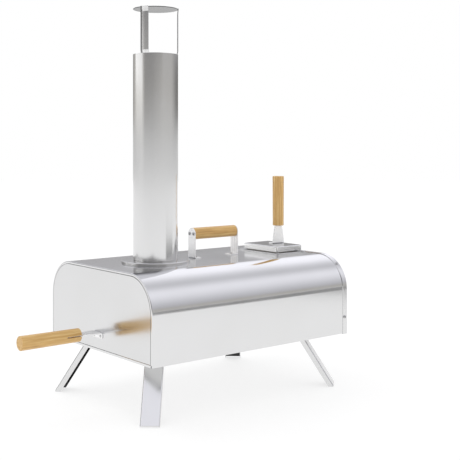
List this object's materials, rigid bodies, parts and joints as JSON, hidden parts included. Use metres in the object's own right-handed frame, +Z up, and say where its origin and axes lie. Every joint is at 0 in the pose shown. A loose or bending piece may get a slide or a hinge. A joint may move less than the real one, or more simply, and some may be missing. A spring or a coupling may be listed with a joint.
{
  "type": "wood fired pizza oven",
  "caption": "Portable wood pellet pizza oven: round-shouldered steel body on folding legs, tall capped chimney, rear hopper with lid, pull-off door and wooden grips.",
  "frame": {"origin": "on the ground, under the middle of the whole length from the door grip's tip to the burner pull, on the body's centre plane", "axes": "+X across the body, +Y from the door to the hopper end, +Z up the chimney"},
  "size_m": [0.4072, 0.7494, 0.8555],
  "materials": {
    "polished_steel": "finely polished",
    "brushed_steel": "brushed",
    "liner_steel": "heat dulled",
    "fasteners": "satin",
    "wood": "light clear-oiled hardwood",
    "stone": "matt cordierite",
    "insulation": "ceramic fibre blanket"
  },
  "bodies": {
    "oven_body": {"outer_shell": "polished_steel", "bottom_pan": "brushed_steel", "front_frame": "polished_steel", "rear_cap": "polished_steel", "rear_cap_screws": "fasteners", "inner_liner": "liner_steel", "roof_insulation": "insulation", "floor_insulation": "insulation", "rear_insulation": "insulation", "pizza_stone": "stone", "stone_rail_left": "liner_steel", "stone_rail_right": "liner_steel", "heat_deflector": "liner_steel", "chimney_flange": "polished_steel", "chimney_collar": "liner_steel", "carry_bracket_front": "brushed_steel", "carry_bracket_rear": "brushed_steel", "carry_grip": "wood", "carry_screws": "fasteners", "hopper_flange": "polished_steel", "hopper_chute": "liner_steel", "hopper_screws": "fasteners", "leg_bracket_front_right": "brushed_steel", "leg_bracket_front_left": "brushed_steel", "leg_bracket_rear_right": "brushed_steel", "leg_bracket_rear_left": "brushed_steel", "leg_pins": "fasteners", "bracket_screws": "fasteners"},
    "door": {"door_plate": "polished_steel", "door_pan": "liner_steel", "door_insulation": "insulation", "door_tang": "brushed_steel", "door_grip": "wood", "door_rivets": "fasteners"},
    "chimney": {"chimney_pipe": "polished_steel", "chimney_cap": "polished_steel", "cap_strap_front": "brushed_steel", "cap_strap_right": "brushed_steel", "cap_strap_left": "brushed_steel"},
    "lid": {"hopper_lid": "polished_steel", "lid_tang": "brushed_steel", "lid_grip": "wood", "lid_rivets": "fasteners"},
    "burner": {"burner_tray": "liner_steel", "burner_grate": "liner_steel", "burner_front": "brushed_steel", "burner_pull": "brushed_steel"},
    "leg_front_right_body": {"leg_front_right": "brushed_steel"},
    "leg_front_left_body": {"leg_front_left": "brushed_steel"},
    "leg_rear_right_body": {"leg_rear_right": "brushed_steel"},
    "leg_rear_left_body": {"leg_rear_left": "brushed_steel"}
  },
  "joints": [
    {"name": "door_pull", "type": "slide", "parent": "oven_body", "child": "door", "axis": [0, -1, 0], "range_m": [0, 0.12]},
    {"name": "chimney_lift", "type": "slide", "parent": "oven_body", "child": "chimney", "axis": [0, 0, 1], "range_m": [0, 0.06]},
    {"name": "lid_lift", "type": "slide", "parent": "oven_body", "child": "lid", "axis": [0, 0, 1], "range_m": [0, 0.05]},
    {"name": "burner_drawer", "type": "slide", "parent": "oven_body", "child": "burner", "axis": [0, 1, 0], "range_m": [0, 0.09]},
    {"name": "leg_front_right_fold", "type": "hinge", "parent": "oven_body", "child": "leg_front_right_body", "pos_m": [0.12323, -0.13413, 0.1193], "axis": [0.6691, 0.7431, 0], "range_deg": [0, 120]},
    {"name": "leg_front_left_fold", "type": "hinge", "parent": "oven_body", "child": "leg_front_left_body", "pos_m": [-0.12323, -0.13413, 0.1193], "axis": [0.6691, -0.7431, 0], "range_deg": [0, 120]},
    {"name": "leg_rear_right_fold", "type": "hinge", "parent": "oven_body", "child": "leg_rear_right_body", "pos_m": [0.12323, 0.27113, 0.1193], "axis": [-0.6691, 0.7431, 0], "range_deg": [0, 120]},
    {"name": "leg_rear_left_fold", "type": "hinge", "parent": "oven_body", "child": "leg_rear_left_body", "pos_m": [-0.12323, 0.27113, 0.1193], "axis": [-0.6691, -0.7431, 0], "range_deg": [0, 120]}
  ]
}
